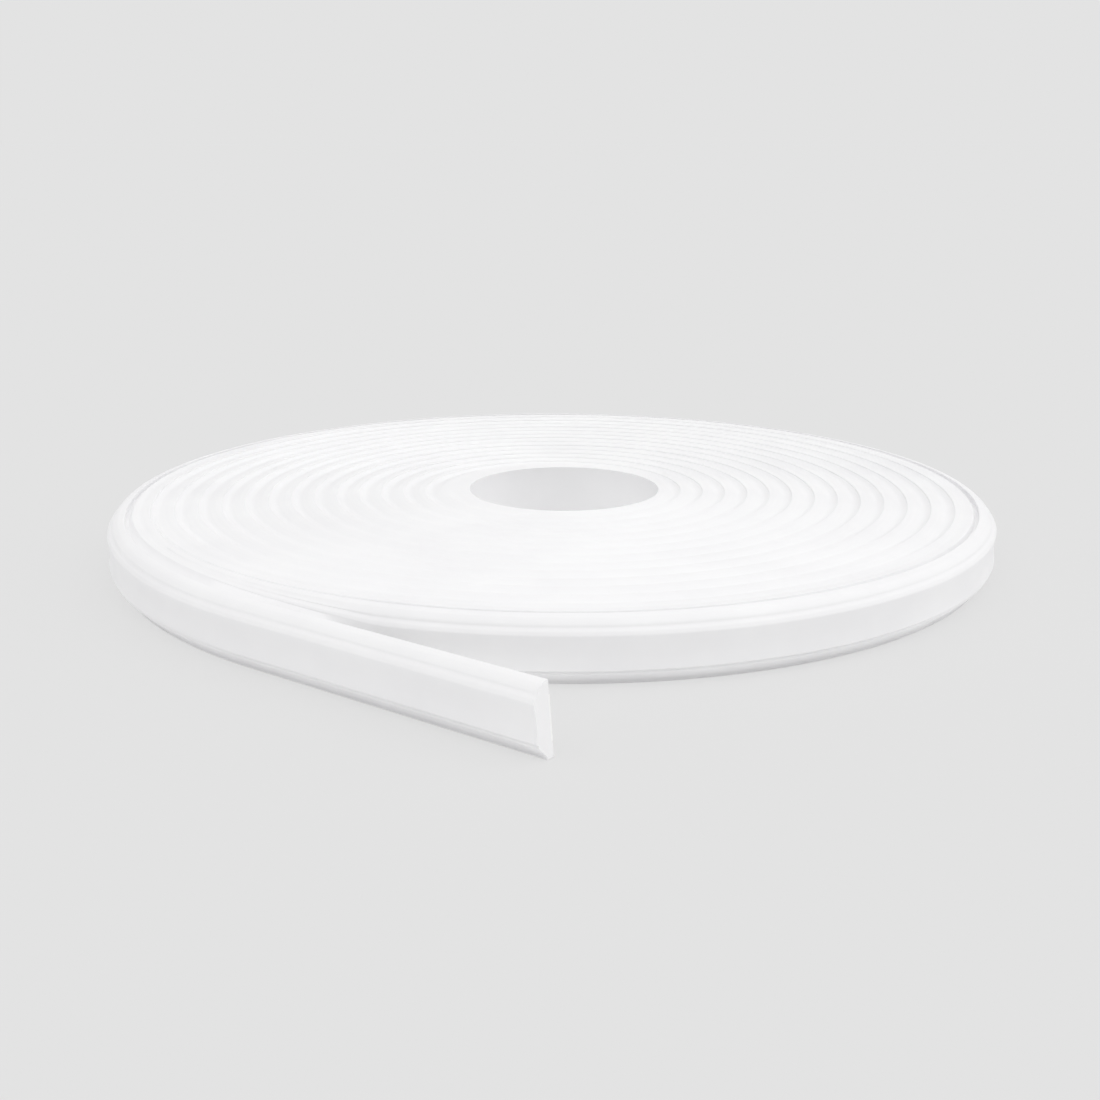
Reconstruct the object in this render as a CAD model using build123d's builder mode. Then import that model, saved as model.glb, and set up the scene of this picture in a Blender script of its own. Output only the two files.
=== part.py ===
from build123d import *
import math
import os

# Self-adhesive dado rail: one flexible moulded strip wound into a flat coil that lies on its edge.
# The moulded face looks outward, the flat back looks inward, and the last stretch runs off straight.
# Millimetres, +Z up. The origin is on the coil's axis, in the plane that the coil lies on.

# The strip's section: its width stands up along Z, and depths are counted out from the flat back
rail_width = 20.0
rail_thickness = 6.2
top_slope_depth = 2.5
top_slope_drop = 0.4
step_depth = 2.9
step_level = 18.6
crease_depth = 4.4
crease_level = 17.5
arris_level = 15.5
quirk_level = 4.8
bevel_depth = 5.7
bevel_level = 3.6
foot_depth = 2.5
lip_height = 0.9

# The winding: the bore, the number of turns round it, and the slack between turns
bore_radius = 34.9
coil_turns = 15
turn_slack = 1.9

# The free end: past the left of the coil it springs out on a slacker arc, then runs straight. It was
# cut off by hand, so its foot reaches further than its top, where the length is measured.
spring_shift = 14.0
tail_angle = 233.4
tail_length = 104.5
cut_slant = 1.8

# The adhesive tape with its liner, let into the flat back of the free end
tape_width = 12.0
tape_thickness = 0.5

# Each half turn is a true arc. The far half is struck from a centre half a turn's pitch to the left,
# so that every turn ends one pitch further out than it began.
turn_pitch = rail_thickness + turn_slack
coil_radius = bore_radius + coil_turns * turn_pitch
far_shift = turn_pitch / 2
far_centre = Vector(-far_shift, 0, 0)

# The free end's arc starts where the last turn ends, on the left, and is struck from further right
spring_centre = Vector(spring_shift, 0, 0)
spring_radius = coil_radius + spring_shift
spring_arc = tail_angle - 180


def radial_plane(angle, centre=Vector(0, 0, 0)):
    """A standing plane through the centre, its x axis pointing outward at this angle."""
    outward = Vector(math.cos(math.radians(angle)), math.sin(math.radians(angle)), 0)
    return Plane(origin=centre, x_dir=outward, z_dir=outward.cross(Vector(0, 0, 1)))


def wound_turn(back):
    """One turn inside the coil, and the V grooves above and below that part it from the next."""
    Polyline(
        (back, 0),
        (back + rail_thickness, quirk_level),
        (back + turn_pitch, 0),
        (back + turn_pitch, rail_width),
        (back + rail_thickness, arris_level),
        (back, rail_width),
        close=True,
    )


def moulded_strip(back):
    """The whole moulded section: flat back, foot, lip, bevel, quirk, face, two slopes, step and top."""
    face = back + rail_thickness
    Polyline(
        (back, 0),
        (back + foot_depth, 0),
        (back + foot_depth, lip_height),
        (back + bevel_depth, bevel_level),
        (face, quirk_level),
        (face, arris_level),
        (back + crease_depth, crease_level),
        (back + step_depth, step_level),
        (back + top_slope_depth, rail_width - top_slope_drop),
        (back, rail_width),
        close=True,
    )


def strip_section(back):
    """The moulded section as a face of its own."""
    with BuildSketch() as section:
        with BuildLine():
            moulded_strip(back)
        make_face()
    return section.sketch


def coil_section(first_back):
    """The sections of one half of the coil, side by side, with the moulded face outermost."""
    with BuildSketch() as section:
        for turn in range(coil_turns - 1):
            with BuildLine():
                wound_turn(first_back + turn * turn_pitch)
            make_face()
        add(strip_section(first_back + (coil_turns - 1) * turn_pitch))
    return section.sketch


def tape_section():
    """The tape's section, flush with the back of the free end."""
    with BuildSketch() as section:
        with Locations((spring_radius + tape_thickness / 2, rail_width / 2)):
            Rectangle(tape_thickness, tape_width)
    return section.sketch


def free_end(section):
    """A section carried round the free end's arc and along its straight run to the slanting cut."""
    straight_start = radial_plane(tail_angle, spring_centre)
    along = -straight_start.z_dir
    with BuildPart() as run:
        with BuildSketch(radial_plane(180, spring_centre)):
            add(section)
        revolve(axis=Axis(spring_centre, (0, 0, 1)), revolution_arc=spring_arc)
        with BuildSketch(straight_start):
            add(section)
        extrude(amount=-tail_length - cut_slant)
        cut = Plane(
            origin=spring_centre + along * tail_length + Vector(0, 0, rail_width),
            z_dir=along * rail_width + Vector(0, 0, cut_slant),
        )
        split(bisect_by=cut, keep=Keep.BOTTOM)
    return run.part


with BuildPart() as dado_rail:
    # Near half of the coil, from the left round the front to the right
    with BuildSketch(radial_plane(180)):
        add(coil_section(bore_radius))
    revolve(axis=Axis.Z, revolution_arc=180)

    # Far half, from the right round the back to the left
    with BuildSketch(radial_plane(0, far_centre)):
        add(coil_section(bore_radius + far_shift))
    revolve(axis=Axis(far_centre, (0, 0, 1)), revolution_arc=180)

    # The strip's inner end is feathered away, so that the bore is round all the way
    with BuildSketch(Plane.XY):
        with BuildLine():
            ThreePointArc((bore_radius, 0), (0, bore_radius), (-bore_radius, 0))
            Line((-bore_radius, 0), (-bore_radius - turn_pitch, 0))
            ThreePointArc(
                (-bore_radius - turn_pitch, 0),
                (-far_shift, bore_radius + far_shift),
                (bore_radius, 0),
            )
        make_face()
    extrude(amount=rail_width)

    # The free end, less the shallow channel in its back that the tape fills
    add(free_end(strip_section(spring_radius)))
    add(free_end(tape_section()), mode=Mode.SUBTRACT)

with BuildPart() as adhesive_tape:
    add(free_end(tape_section()))

dado_rail.part.label = "dado_rail"
adhesive_tape.part.label = "adhesive_tape"

os.makedirs("parts", exist_ok=True)
export_step(dado_rail.part, "parts/dado_rail.step")
export_step(adhesive_tape.part, "parts/adhesive_tape.step")
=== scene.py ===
import math

import bmesh
import bpy
import numpy as np
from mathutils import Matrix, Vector


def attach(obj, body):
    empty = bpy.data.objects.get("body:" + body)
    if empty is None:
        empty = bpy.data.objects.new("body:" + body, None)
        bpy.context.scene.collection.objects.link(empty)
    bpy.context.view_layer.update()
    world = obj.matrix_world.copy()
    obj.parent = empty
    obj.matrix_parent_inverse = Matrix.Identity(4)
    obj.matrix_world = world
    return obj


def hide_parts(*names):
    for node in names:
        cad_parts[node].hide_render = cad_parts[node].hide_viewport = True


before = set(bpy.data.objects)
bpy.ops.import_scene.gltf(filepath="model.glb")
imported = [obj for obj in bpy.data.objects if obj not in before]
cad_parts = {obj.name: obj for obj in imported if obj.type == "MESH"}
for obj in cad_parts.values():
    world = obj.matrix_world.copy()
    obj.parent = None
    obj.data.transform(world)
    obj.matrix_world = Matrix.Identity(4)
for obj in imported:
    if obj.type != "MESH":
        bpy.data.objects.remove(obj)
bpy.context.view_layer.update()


# The winding in millimetres, as in the CAD part
MM = 0.001
RAIL_WIDTH = 20.0
RAIL_THICKNESS = 6.2
TURN_PITCH = 8.1
BORE_RADIUS = 34.9
COIL_TURNS = 15
SPRING_SHIFT = 14.0
TAIL_ANGLE = 233.4
TAIL_LENGTH = 104.5
CUT_SLANT = 1.8

# Sections stand at stations along the strip's flat back, from the inner end out, counterclockwise as
# seen from above. Half a turn has this many for each square root of its radius.
STATIONS_PER_ROOT = 7.2
SPRING_STATIONS = 40
STRAIGHT_STATIONS = 20

# Corners eased by this radius or more get three points. Rings that lie this near each other, in metres,
# become one, and edges that fold by more than the angle stay sharp.
ROUND_FROM = 0.3
WELD = 1e-6
SHARP_ANGLE = math.radians(38)

# The tape with its liner, in a recess of the free end's back
TAPE_WIDTH = 12.0
RECESS_DEPTH = 0.5
LINER_PROUD = 0.12
LINER_CLEARANCE = 0.08
LINER_EASE = 0.05
TAPE_LOW = (RAIL_WIDTH - TAPE_WIDTH) / 2
TAPE_HIGH = TAPE_LOW + TAPE_WIDTH

# Outline of the strip: (depth from the back, level, radius that eases the corner). It runs from the
# back's top edge over the moulded face and the foot, and up the back again.
TOP_EDGES = ((0.0, 19.8, 0.2), (2.5, 19.25, 0.25), (3.8, 18.2, 0.25))
FREE_FACE = (
    (4.4, 17.5, 0.2),
    (4.55, 16.95, 0.2),
    (5.5, 16.15, 0.3),
    (6.2, 15.0, 0.3),
    (5.88, 12.4, 0.0),
    (5.72, 10.0, 0.0),
    (5.76, 7.4, 0.0),
    (6.2, 4.8, 0.2),
    (5.5, 4.5, 0.0),
)
FOOT_EDGES = ((5.75, 3.8, 0.3), (2.7, 1.0, 0.2), (2.5, 0.0, 0.0), (0.0, 0.0, 0.0))
FREE_BACK = (
    (0.0, TAPE_LOW, 0.0),
    (RECESS_DEPTH, TAPE_LOW, 0.0),
    (RECESS_DEPTH, TAPE_HIGH, 0.0),
    (0.0, TAPE_HIGH, 0.0),
)

# A wound turn leans on the next one: below the edges the slack between them is closed
BURIED = TURN_PITCH + 0.2
WOUND_TOP = ((0.0, RAIL_WIDTH, 0.2), (2.5, 19.85, 0.25), (2.9, 19.6, 0.25))
WOUND_FACE = (
    (4.2, 19.35, 0.2),
    (4.45, 19.2, 0.2),
    (5.5, 18.9, 0.3),
    (6.3, 18.85, 0.3),
    (7.2, 19.1, 0.0),
    (BURIED, 19.75, 0.0),
    (BURIED, 3.4, 0.0),
    (6.6, 5.0, 0.2),
    (5.8, 4.6, 0.0),
)
WOUND_BACK = ((0.0, 8.0, 0.0), (0.0, 9.0, 0.0), (0.0, 11.0, 0.0), (0.0, 12.0, 0.0))

# Points of the wound outline: those on the flat back, those of the upper edges, those of the lower
# edges, and those that bridge the slack to the next turn
BACK_UP_TO = 0.1
UPPER_FROM = 14.0
LOWER_UP_TO = 6.0
SLACK_FROM = RAIL_THICKNESS + 0.5

# The strip's inner end is full, and its grooves deepen over the first part of a turn
INNER_END_ARC = math.radians(50)

# A narrow, deeper groove lies behind the outermost turn and behind the start of the free end
GROOVED_FACE = (
    (4.2, 19.62, 0.2),
    (4.45, 19.64, 0.2),
    (5.5, 19.7, 0.3),
    (6.3, 19.7, 0.3),
    (6.9, 18.1, 0.0),
    (BURIED, 18.1, 0.0),
    (BURIED, 3.4, 0.0),
    (6.6, 5.0, 0.2),
    (5.8, 4.6, 0.0),
)

# The free end parts from the last turn little by little
PARTING_ARC = math.radians(70)
PARTING_POWER = 5

# The turns inside the coil stand a little unevenly, by the product of two waves along the winding
UNEVEN = 0.06
SLOW_WAVE = 0.73
QUICK_WAVE = 1.31


def eased(corners):
    """A closed outline in which each corner that has a radius becomes two or three points."""
    points = []
    for i, (x, z, radius) in enumerate(corners):
        here = np.array((x, z))
        before = np.array(corners[i - 1][:2]) - here
        after = np.array(corners[(i + 1) % len(corners)][:2]) - here
        start = here + before / np.linalg.norm(before) * radius
        end = here + after / np.linalg.norm(after) * radius
        count = 1 + int(radius > 0) + int(radius >= ROUND_FROM)
        for t in np.linspace(0, 1, count):
            points.append((1 - t) ** 2 * start + 2 * t * (1 - t) * here + t * t * end)
    return np.array(points)


free_section = eased(TOP_EDGES + FREE_FACE + FOOT_EDGES + FREE_BACK)
wound_section = eased(WOUND_TOP + WOUND_FACE + FOOT_EDGES + WOUND_BACK)
grooved_section = eased(WOUND_TOP + GROOVED_FACE + FOOT_EDGES + WOUND_BACK)
last_section = eased(TOP_EDGES + FREE_FACE + FOOT_EDGES + WOUND_BACK)
spring_centre = np.array((SPRING_SHIFT, 0.0))
spring_radius = BORE_RADIUS + COIL_TURNS * TURN_PITCH + SPRING_SHIFT
spring_arc = math.radians(TAIL_ANGLE - 180)


def outward(angle):
    """The direction that points out of the coil at an angle."""
    return np.array((math.cos(angle), math.sin(angle)))


def reach(place, out, centre, radius):
    """How far it is from a place, straight along a direction, to the far side of a circle."""
    from_centre = place - centre
    along = from_centre @ out
    return math.sqrt(radius**2 - from_centre @ from_centre + along**2) - along


def inner_end(turned):
    """The strip near its inner end, where the grooves have yet to reach their depth."""
    share = min(turned / INNER_END_ARC, 1.0)
    share = share * share * (3 - 2 * share)
    full = wound_section.copy()
    full[full[:, 1] > UPPER_FROM, 1] = RAIL_WIDTH
    full[full[:, 1] < LOWER_UP_TO, 1] = 0.0
    return full + share * (wound_section - full)


def feathered(place, out):
    """The strip's first half turn behind the bore, its back filled out to the round bore."""
    shape = wound_section.copy()
    back = shape[:, 0] < BACK_UP_TO
    shape[back, 0] += reach(place, out, np.zeros(2), BORE_RADIUS)
    shape[back & (shape[:, 1] > UPPER_FROM), 1] = RAIL_WIDTH
    return shape


def grooved(share):
    """The strip just inside the outermost turn, with a share of its deeper groove."""
    return wound_section + share * (grooved_section - wound_section)


def parting(place, out, turned):
    """The last turn where the free end still lies against it, the slack between them slowly opening."""
    share = (turned / PARTING_ARC) ** PARTING_POWER
    shape = grooved(1)
    slack = shape[:, 0] > SLACK_FROM
    to_free_end = reach(place, out, spring_centre, spring_radius)
    if turned > spring_arc:
        square = outward(math.pi + spring_arc)
        to_free_end = ((spring_centre - place) @ square + spring_radius) / (out @ square)
    shape[slack, 0] += to_free_end - TURN_PITCH
    return shape + share * (last_section - shape)


def unevenness(wound):
    """How much lower a turn stands after this much winding: none at the first turn and the last."""
    inside = min(wound / math.tau - 1, COIL_TURNS - 1 - wound / math.tau)
    waves = 1 + math.sin(wound * SLOW_WAVE) * math.sin(wound * QUICK_WAVE + 1)
    return UNEVEN * waves * min(max(inside, 0), 1)


def placed(place, out, section, drop=0.0):
    """A section stood up at a station of the winding."""
    ring = np.empty((len(section), 3))
    ring[:, :2] = place + section[:, :1] * out
    ring[:, 2] = section[:, 1] * (1 - drop / RAIL_WIDTH)
    return ring


def coil_rings():
    """The wound turns, as sections at the stations of each half turn."""
    rings = []
    for half in range(2 * COIL_TURNS):
        turn, far = divmod(half, 2)
        last_turn = turn == COIL_TURNS - 1
        centre = np.array((-TURN_PITCH / 2 * far, 0.0))
        radius = BORE_RADIUS + turn * TURN_PITCH + TURN_PITCH / 2 * far
        steps = round(STATIONS_PER_ROOT * math.sqrt(radius))
        for k in range(steps + 1):
            turned = math.pi * k / steps
            out = outward(math.pi * (1 - far) + turned)
            place = centre + radius * out
            shape = last_section if last_turn else wound_section
            if half == 0:
                shape = inner_end(turned)
            elif half == 1:
                shape = feathered(place, out)
            elif turn == COIL_TURNS - 2:
                shape = grooved(1 if far else min(turned / PARTING_ARC, 1))
            elif last_turn and not far and turned < PARTING_ARC:
                shape = parting(place, out, turned)
            rings.append(placed(place, out, shape, unevenness(math.pi * half + turned)))
    return rings


def free_rings(section):
    """The free end round its slack arc and along its straight, to the slanting cut."""
    rings = []
    for k in range(SPRING_STATIONS + 1):
        out = outward(math.pi + spring_arc * k / SPRING_STATIONS)
        rings.append(placed(spring_centre + spring_radius * out, out, section))
    along = np.array((-out[1], out[0], 0.0))
    start = rings[-1]
    for k in range(1, STRAIGHT_STATIONS + 1):
        rings.append(start + along * TAIL_LENGTH * k / STRAIGHT_STATIONS)
    rings[-1] += along * CUT_SLANT * (1 - start[:, 2:] / RAIL_WIDTH)
    return rings


def distances(points):
    """How far each point lies from the first one, along the line through them all."""
    steps = np.linalg.norm(np.diff(points, axis=0), axis=1)
    return np.concatenate(((0.0,), np.cumsum(steps)))


def sweep(name, rings):
    """A closed mesh through rings of equal count, capped at both ends. Its UVs are in metres."""
    rings = np.array(rings) * MM
    total, count = rings.shape[:2]
    starts = np.arange(total - 1)[:, None] * count
    k = np.arange(count)
    following = (k + 1) % count
    near, near_next = starts + k, starts + following
    quads = np.stack((near, near_next, near_next + count, near + count), -1)
    faces = quads.reshape(-1, 4).tolist()
    faces.append(list(range(count - 1, -1, -1)))
    faces.append(list(range((total - 1) * count, total * count)))
    mesh = bpy.data.meshes.new(name)
    mesh.from_pydata(rings.reshape(-1, 3).tolist(), [], faces)
    mesh.update()

    along = distances(rings[:, 0])
    around = distances(rings[-1])
    loops = np.empty(len(mesh.loops), int)
    mesh.loops.foreach_get("vertex_index", loops)
    uv = np.stack((along[loops // count], around[loops % count]), -1)
    mesh.uv_layers.new(name="along_and_across").data.foreach_set("uv", uv.ravel())

    # where one stretch of the winding takes over from another, two rings agree and become one
    welded = bmesh.new()
    welded.from_mesh(mesh)
    bmesh.ops.dissolve_degenerate(welded, dist=WELD, edges=welded.edges)
    welded.to_mesh(mesh)
    welded.free()

    piece = bpy.data.objects.new(name, mesh)
    bpy.context.scene.collection.objects.link(piece)
    mesh.shade_smooth()
    mesh.set_sharp_from_angle(angle=SHARP_ANGLE)
    return piece


rail = sweep("moulded_rail", coil_rings() + free_rings(free_section))

liner_outline = (
    (-LINER_PROUD, TAPE_LOW + LINER_CLEARANCE, LINER_EASE),
    (-LINER_PROUD, TAPE_HIGH - LINER_CLEARANCE, LINER_EASE),
    (RECESS_DEPTH, TAPE_HIGH - LINER_CLEARANCE, LINER_EASE),
    (RECESS_DEPTH, TAPE_LOW + LINER_CLEARANCE, LINER_EASE),
)
tape = sweep("tape_with_liner", free_rings(eased(liner_outline)))


# Each finish has its lowest and highest colour and roughness. Noise scales are for a metre.
PLASTIC_COLOURS = ((0.89, 0.886, 0.896), (0.922, 0.92, 0.926))
PLASTIC_ROUGHNESS = (0.42, 0.58)
PLASTIC_GRAIN = 2600
DIE_LINES = 900
DIE_LINE_STRETCH = (0.012, 1, 1)
LINER_COLOURS = ((0.94, 0.94, 0.93), (0.965, 0.965, 0.96))
LINER_ROUGHNESS = (0.28, 0.4)


def new_material(name):
    """A new material, with its nodes and its links."""
    material = bpy.data.materials.new(name)
    material.use_nodes = True
    return material, material.node_tree.nodes, material.node_tree.links


def noise_on(nodes, links, source, scale, detail, stretch=(1, 1, 1)):
    """Noise over a mapped coordinate: the stretch is along, across and through."""
    mapping = nodes.new("ShaderNodeMapping")
    mapping.inputs["Scale"].default_value = stretch
    noise = nodes.new("ShaderNodeTexNoise")
    noise.inputs["Scale"].default_value = scale
    noise.inputs["Detail"].default_value = detail
    links.new(source, mapping.inputs["Vector"])
    links.new(mapping.outputs["Vector"], noise.inputs["Vector"])
    return noise.outputs["Fac"]


def tinted(nodes, links, value, low, high, span=(0.3, 0.7)):
    """A colour that runs from low to high while the value crosses the span."""
    ramp = nodes.new("ShaderNodeValToRGB")
    for element, position, colour in zip(ramp.color_ramp.elements, span, (low, high)):
        element.position = position
        element.color = (*colour, 1)
    links.new(value, ramp.inputs["Fac"])
    return ramp.outputs["Color"]


def roughened(nodes, links, value, low, high):
    """A roughness between low and high."""
    spread = nodes.new("ShaderNodeMapRange")
    spread.inputs["To Min"].default_value = low
    spread.inputs["To Max"].default_value = high
    links.new(value, spread.inputs["Value"])
    return spread.outputs["Result"]


def bumped(nodes, links, value, strength, distance, under=None):
    """A bump from the value, on top of another bump where one is given."""
    bump = nodes.new("ShaderNodeBump")
    bump.inputs["Strength"].default_value = strength
    bump.inputs["Distance"].default_value = distance
    links.new(value, bump.inputs["Height"])
    if under:
        links.new(under, bump.inputs["Normal"])
    return bump.outputs["Normal"]


def soft_white_plastic():
    """Flexible white plastic: faint lines along the strip from the die, and a fine matt grain."""
    material, nodes, links = new_material("soft_white_plastic")
    shader = nodes["Principled BSDF"]
    coords = nodes.new("ShaderNodeTexCoord")
    clouds = noise_on(nodes, links, coords.outputs["Object"], 35, 3)
    grain = noise_on(nodes, links, coords.outputs["Object"], PLASTIC_GRAIN, 2)
    die_lines = noise_on(nodes, links, coords.outputs["UV"], DIE_LINES, 2, DIE_LINE_STRETCH)
    links.new(tinted(nodes, links, clouds, *PLASTIC_COLOURS), shader.inputs["Base Color"])
    links.new(roughened(nodes, links, grain, *PLASTIC_ROUGHNESS), shader.inputs["Roughness"])
    lines = bumped(nodes, links, die_lines, 0.25, 0.00005)
    links.new(bumped(nodes, links, grain, 0.2, 0.00004, lines), shader.inputs["Normal"])
    shader.inputs["Specular IOR Level"].default_value = 0.4
    return material


def liner_paper():
    """Siliconed liner paper: smooth and slightly shiny, with the faint cockle of thin paper."""
    material, nodes, links = new_material("liner_paper")
    shader = nodes["Principled BSDF"]
    coords = nodes.new("ShaderNodeTexCoord")
    fibres = noise_on(nodes, links, coords.outputs["Object"], 900, 4)
    cockle = noise_on(nodes, links, coords.outputs["UV"], 70, 2, (1, 0.5, 1))
    links.new(tinted(nodes, links, fibres, *LINER_COLOURS), shader.inputs["Base Color"])
    links.new(roughened(nodes, links, fibres, *LINER_ROUGHNESS), shader.inputs["Roughness"])
    links.new(bumped(nodes, links, cockle, 0.3, 0.0003), shader.inputs["Normal"])
    shader.inputs["Specular IOR Level"].default_value = 0.5
    return material


rail.data.materials.append(soft_white_plastic())
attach(rail, "root")
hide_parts("dado_rail")

tape.data.materials.append(liner_paper())
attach(tape, "root")
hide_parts("adhesive_tape")

# The floor is matt and pale, and the backdrop has the colour that the floor shows. The floor lights the
# object as white card does. The even share of what it shows takes no shadow.
BACKDROP = (0.768, 0.768, 0.768, 1)
FLOOR_COLOUR = (0.75, 0.75, 0.75, 1)
CARD_COLOUR = (0.92, 0.92, 0.92, 1)
EVEN_SHARE = 0.8
FLOOR_HALF = 30.0
FLOOR_LEVEL = -0.0002

floor_mesh = bpy.data.meshes.new("floor")
floor_corners = [
    (-FLOOR_HALF, -FLOOR_HALF, FLOOR_LEVEL),
    (FLOOR_HALF, -FLOOR_HALF, FLOOR_LEVEL),
    (FLOOR_HALF, FLOOR_HALF, FLOOR_LEVEL),
    (-FLOOR_HALF, FLOOR_HALF, FLOOR_LEVEL),
]
floor_mesh.from_pydata(floor_corners, [], [(0, 1, 2, 3)])
floor = bpy.data.objects.new("floor", floor_mesh)
bpy.context.scene.collection.objects.link(floor)


def seen_by_eye(nodes, links):
    """1 for rays that show a surface, in the view or in a reflection, and 0 for rays of its light."""
    path = nodes.new("ShaderNodeLightPath")
    seen = path.outputs["Is Camera Ray"]
    for ray in ("Is Glossy Ray", "Is Transmission Ray"):
        either = nodes.new("ShaderNodeMath")
        either.operation = "MAXIMUM"
        links.new(seen, either.inputs[0])
        links.new(path.outputs[ray], either.inputs[1])
        seen = either.outputs["Value"]
    return seen


def pale_floor():
    """Matt white card under the object, seen in the backdrop's grey and with a softer shadow."""
    material, nodes, links = new_material("pale_floor")
    nodes.remove(nodes["Principled BSDF"])
    card = nodes.new("ShaderNodeBsdfDiffuse")
    card.inputs["Color"].default_value = CARD_COLOUR
    grey = nodes.new("ShaderNodeBsdfDiffuse")
    grey.inputs["Color"].default_value = FLOOR_COLOUR
    even = nodes.new("ShaderNodeEmission")
    even.inputs["Color"].default_value = BACKDROP
    shown = nodes.new("ShaderNodeMixShader")
    shown.inputs["Fac"].default_value = EVEN_SHARE
    links.new(grey.outputs["BSDF"], shown.inputs[1])
    links.new(even.outputs["Emission"], shown.inputs[2])
    mix = nodes.new("ShaderNodeMixShader")
    links.new(seen_by_eye(nodes, links), mix.inputs["Fac"])
    links.new(card.outputs["BSDF"], mix.inputs[1])
    links.new(shown.outputs["Shader"], mix.inputs[2])
    links.new(mix.outputs["Shader"], nodes["Material Output"].inputs["Surface"])
    return material


floor_mesh.materials.append(pale_floor())

# The light: an even pale dome, and four very wide soft lamps
DOME_STRENGTH = 0.4


def studio_world():
    """The dome that lights the object, seen as the backdrop's grey."""
    world = bpy.data.worlds.new("studio")
    bpy.context.scene.world = world
    world.use_nodes = True
    nodes, links = world.node_tree.nodes, world.node_tree.links
    dome = nodes["Background"]
    dome.inputs["Color"].default_value = (1, 1, 1, 1)
    dome.inputs["Strength"].default_value = DOME_STRENGTH
    seen = nodes.new("ShaderNodeBackground")
    seen.inputs["Color"].default_value = BACKDROP
    mix = nodes.new("ShaderNodeMixShader")
    links.new(seen_by_eye(nodes, links), mix.inputs[0])
    links.new(dome.outputs["Background"], mix.inputs[1])
    links.new(seen.outputs["Background"], mix.inputs[2])
    links.new(mix.outputs["Shader"], nodes["World Output"].inputs["Surface"])


def wide_lamp(name, azimuth, elevation, level, spread):
    """A distant lamp: azimuth from the front towards the right, and level 1 lights white to white."""
    data = bpy.data.lights.new(name, "SUN")
    data.energy = level * math.pi
    data.angle = math.radians(spread)
    lamp = bpy.data.objects.new(name, data)
    a, e = math.radians(azimuth), math.radians(elevation)
    towards = Vector((math.sin(a) * math.cos(e), -math.cos(a) * math.cos(e), math.sin(e)))
    lamp.rotation_euler = towards.to_track_quat("Z", "Y").to_euler()
    bpy.context.scene.collection.objects.link(lamp)


studio_world()
wide_lamp("left_lamp", -75, 35, 0.17, 60)
wide_lamp("right_lamp", 95, 35, 0.28, 60)
wide_lamp("front_lamp", 0, 62, 0.2, 60)
wide_lamp("overhead_lamp", 180, 80, 0.19, 90)

# The camera stands in front of the coil and looks down on it a little
FOCAL_PIXELS = 1467.2
FRAME_PIXELS = 1100
SENSOR_WIDTH = 36
CAMERA_PITCH = 0.2742
CAMERA_YAW = 0.0097
CAMERA_PLACE = (0.0, -0.5303, 0.1451)
CLIP_START = 0.01
CLIP_END = 100

camera_data = bpy.data.cameras.new("camera")
camera_data.sensor_width = SENSOR_WIDTH
camera_data.lens = FOCAL_PIXELS / FRAME_PIXELS * SENSOR_WIDTH
camera_data.clip_start = CLIP_START
camera_data.clip_end = CLIP_END
camera = bpy.data.objects.new("camera", camera_data)
camera.location = CAMERA_PLACE
camera.rotation_euler = (math.pi / 2 - CAMERA_PITCH, 0, CAMERA_YAW)
bpy.context.scene.collection.objects.link(camera)
bpy.context.scene.camera = camera

bpy.context.scene.view_settings.view_transform = "Standard"
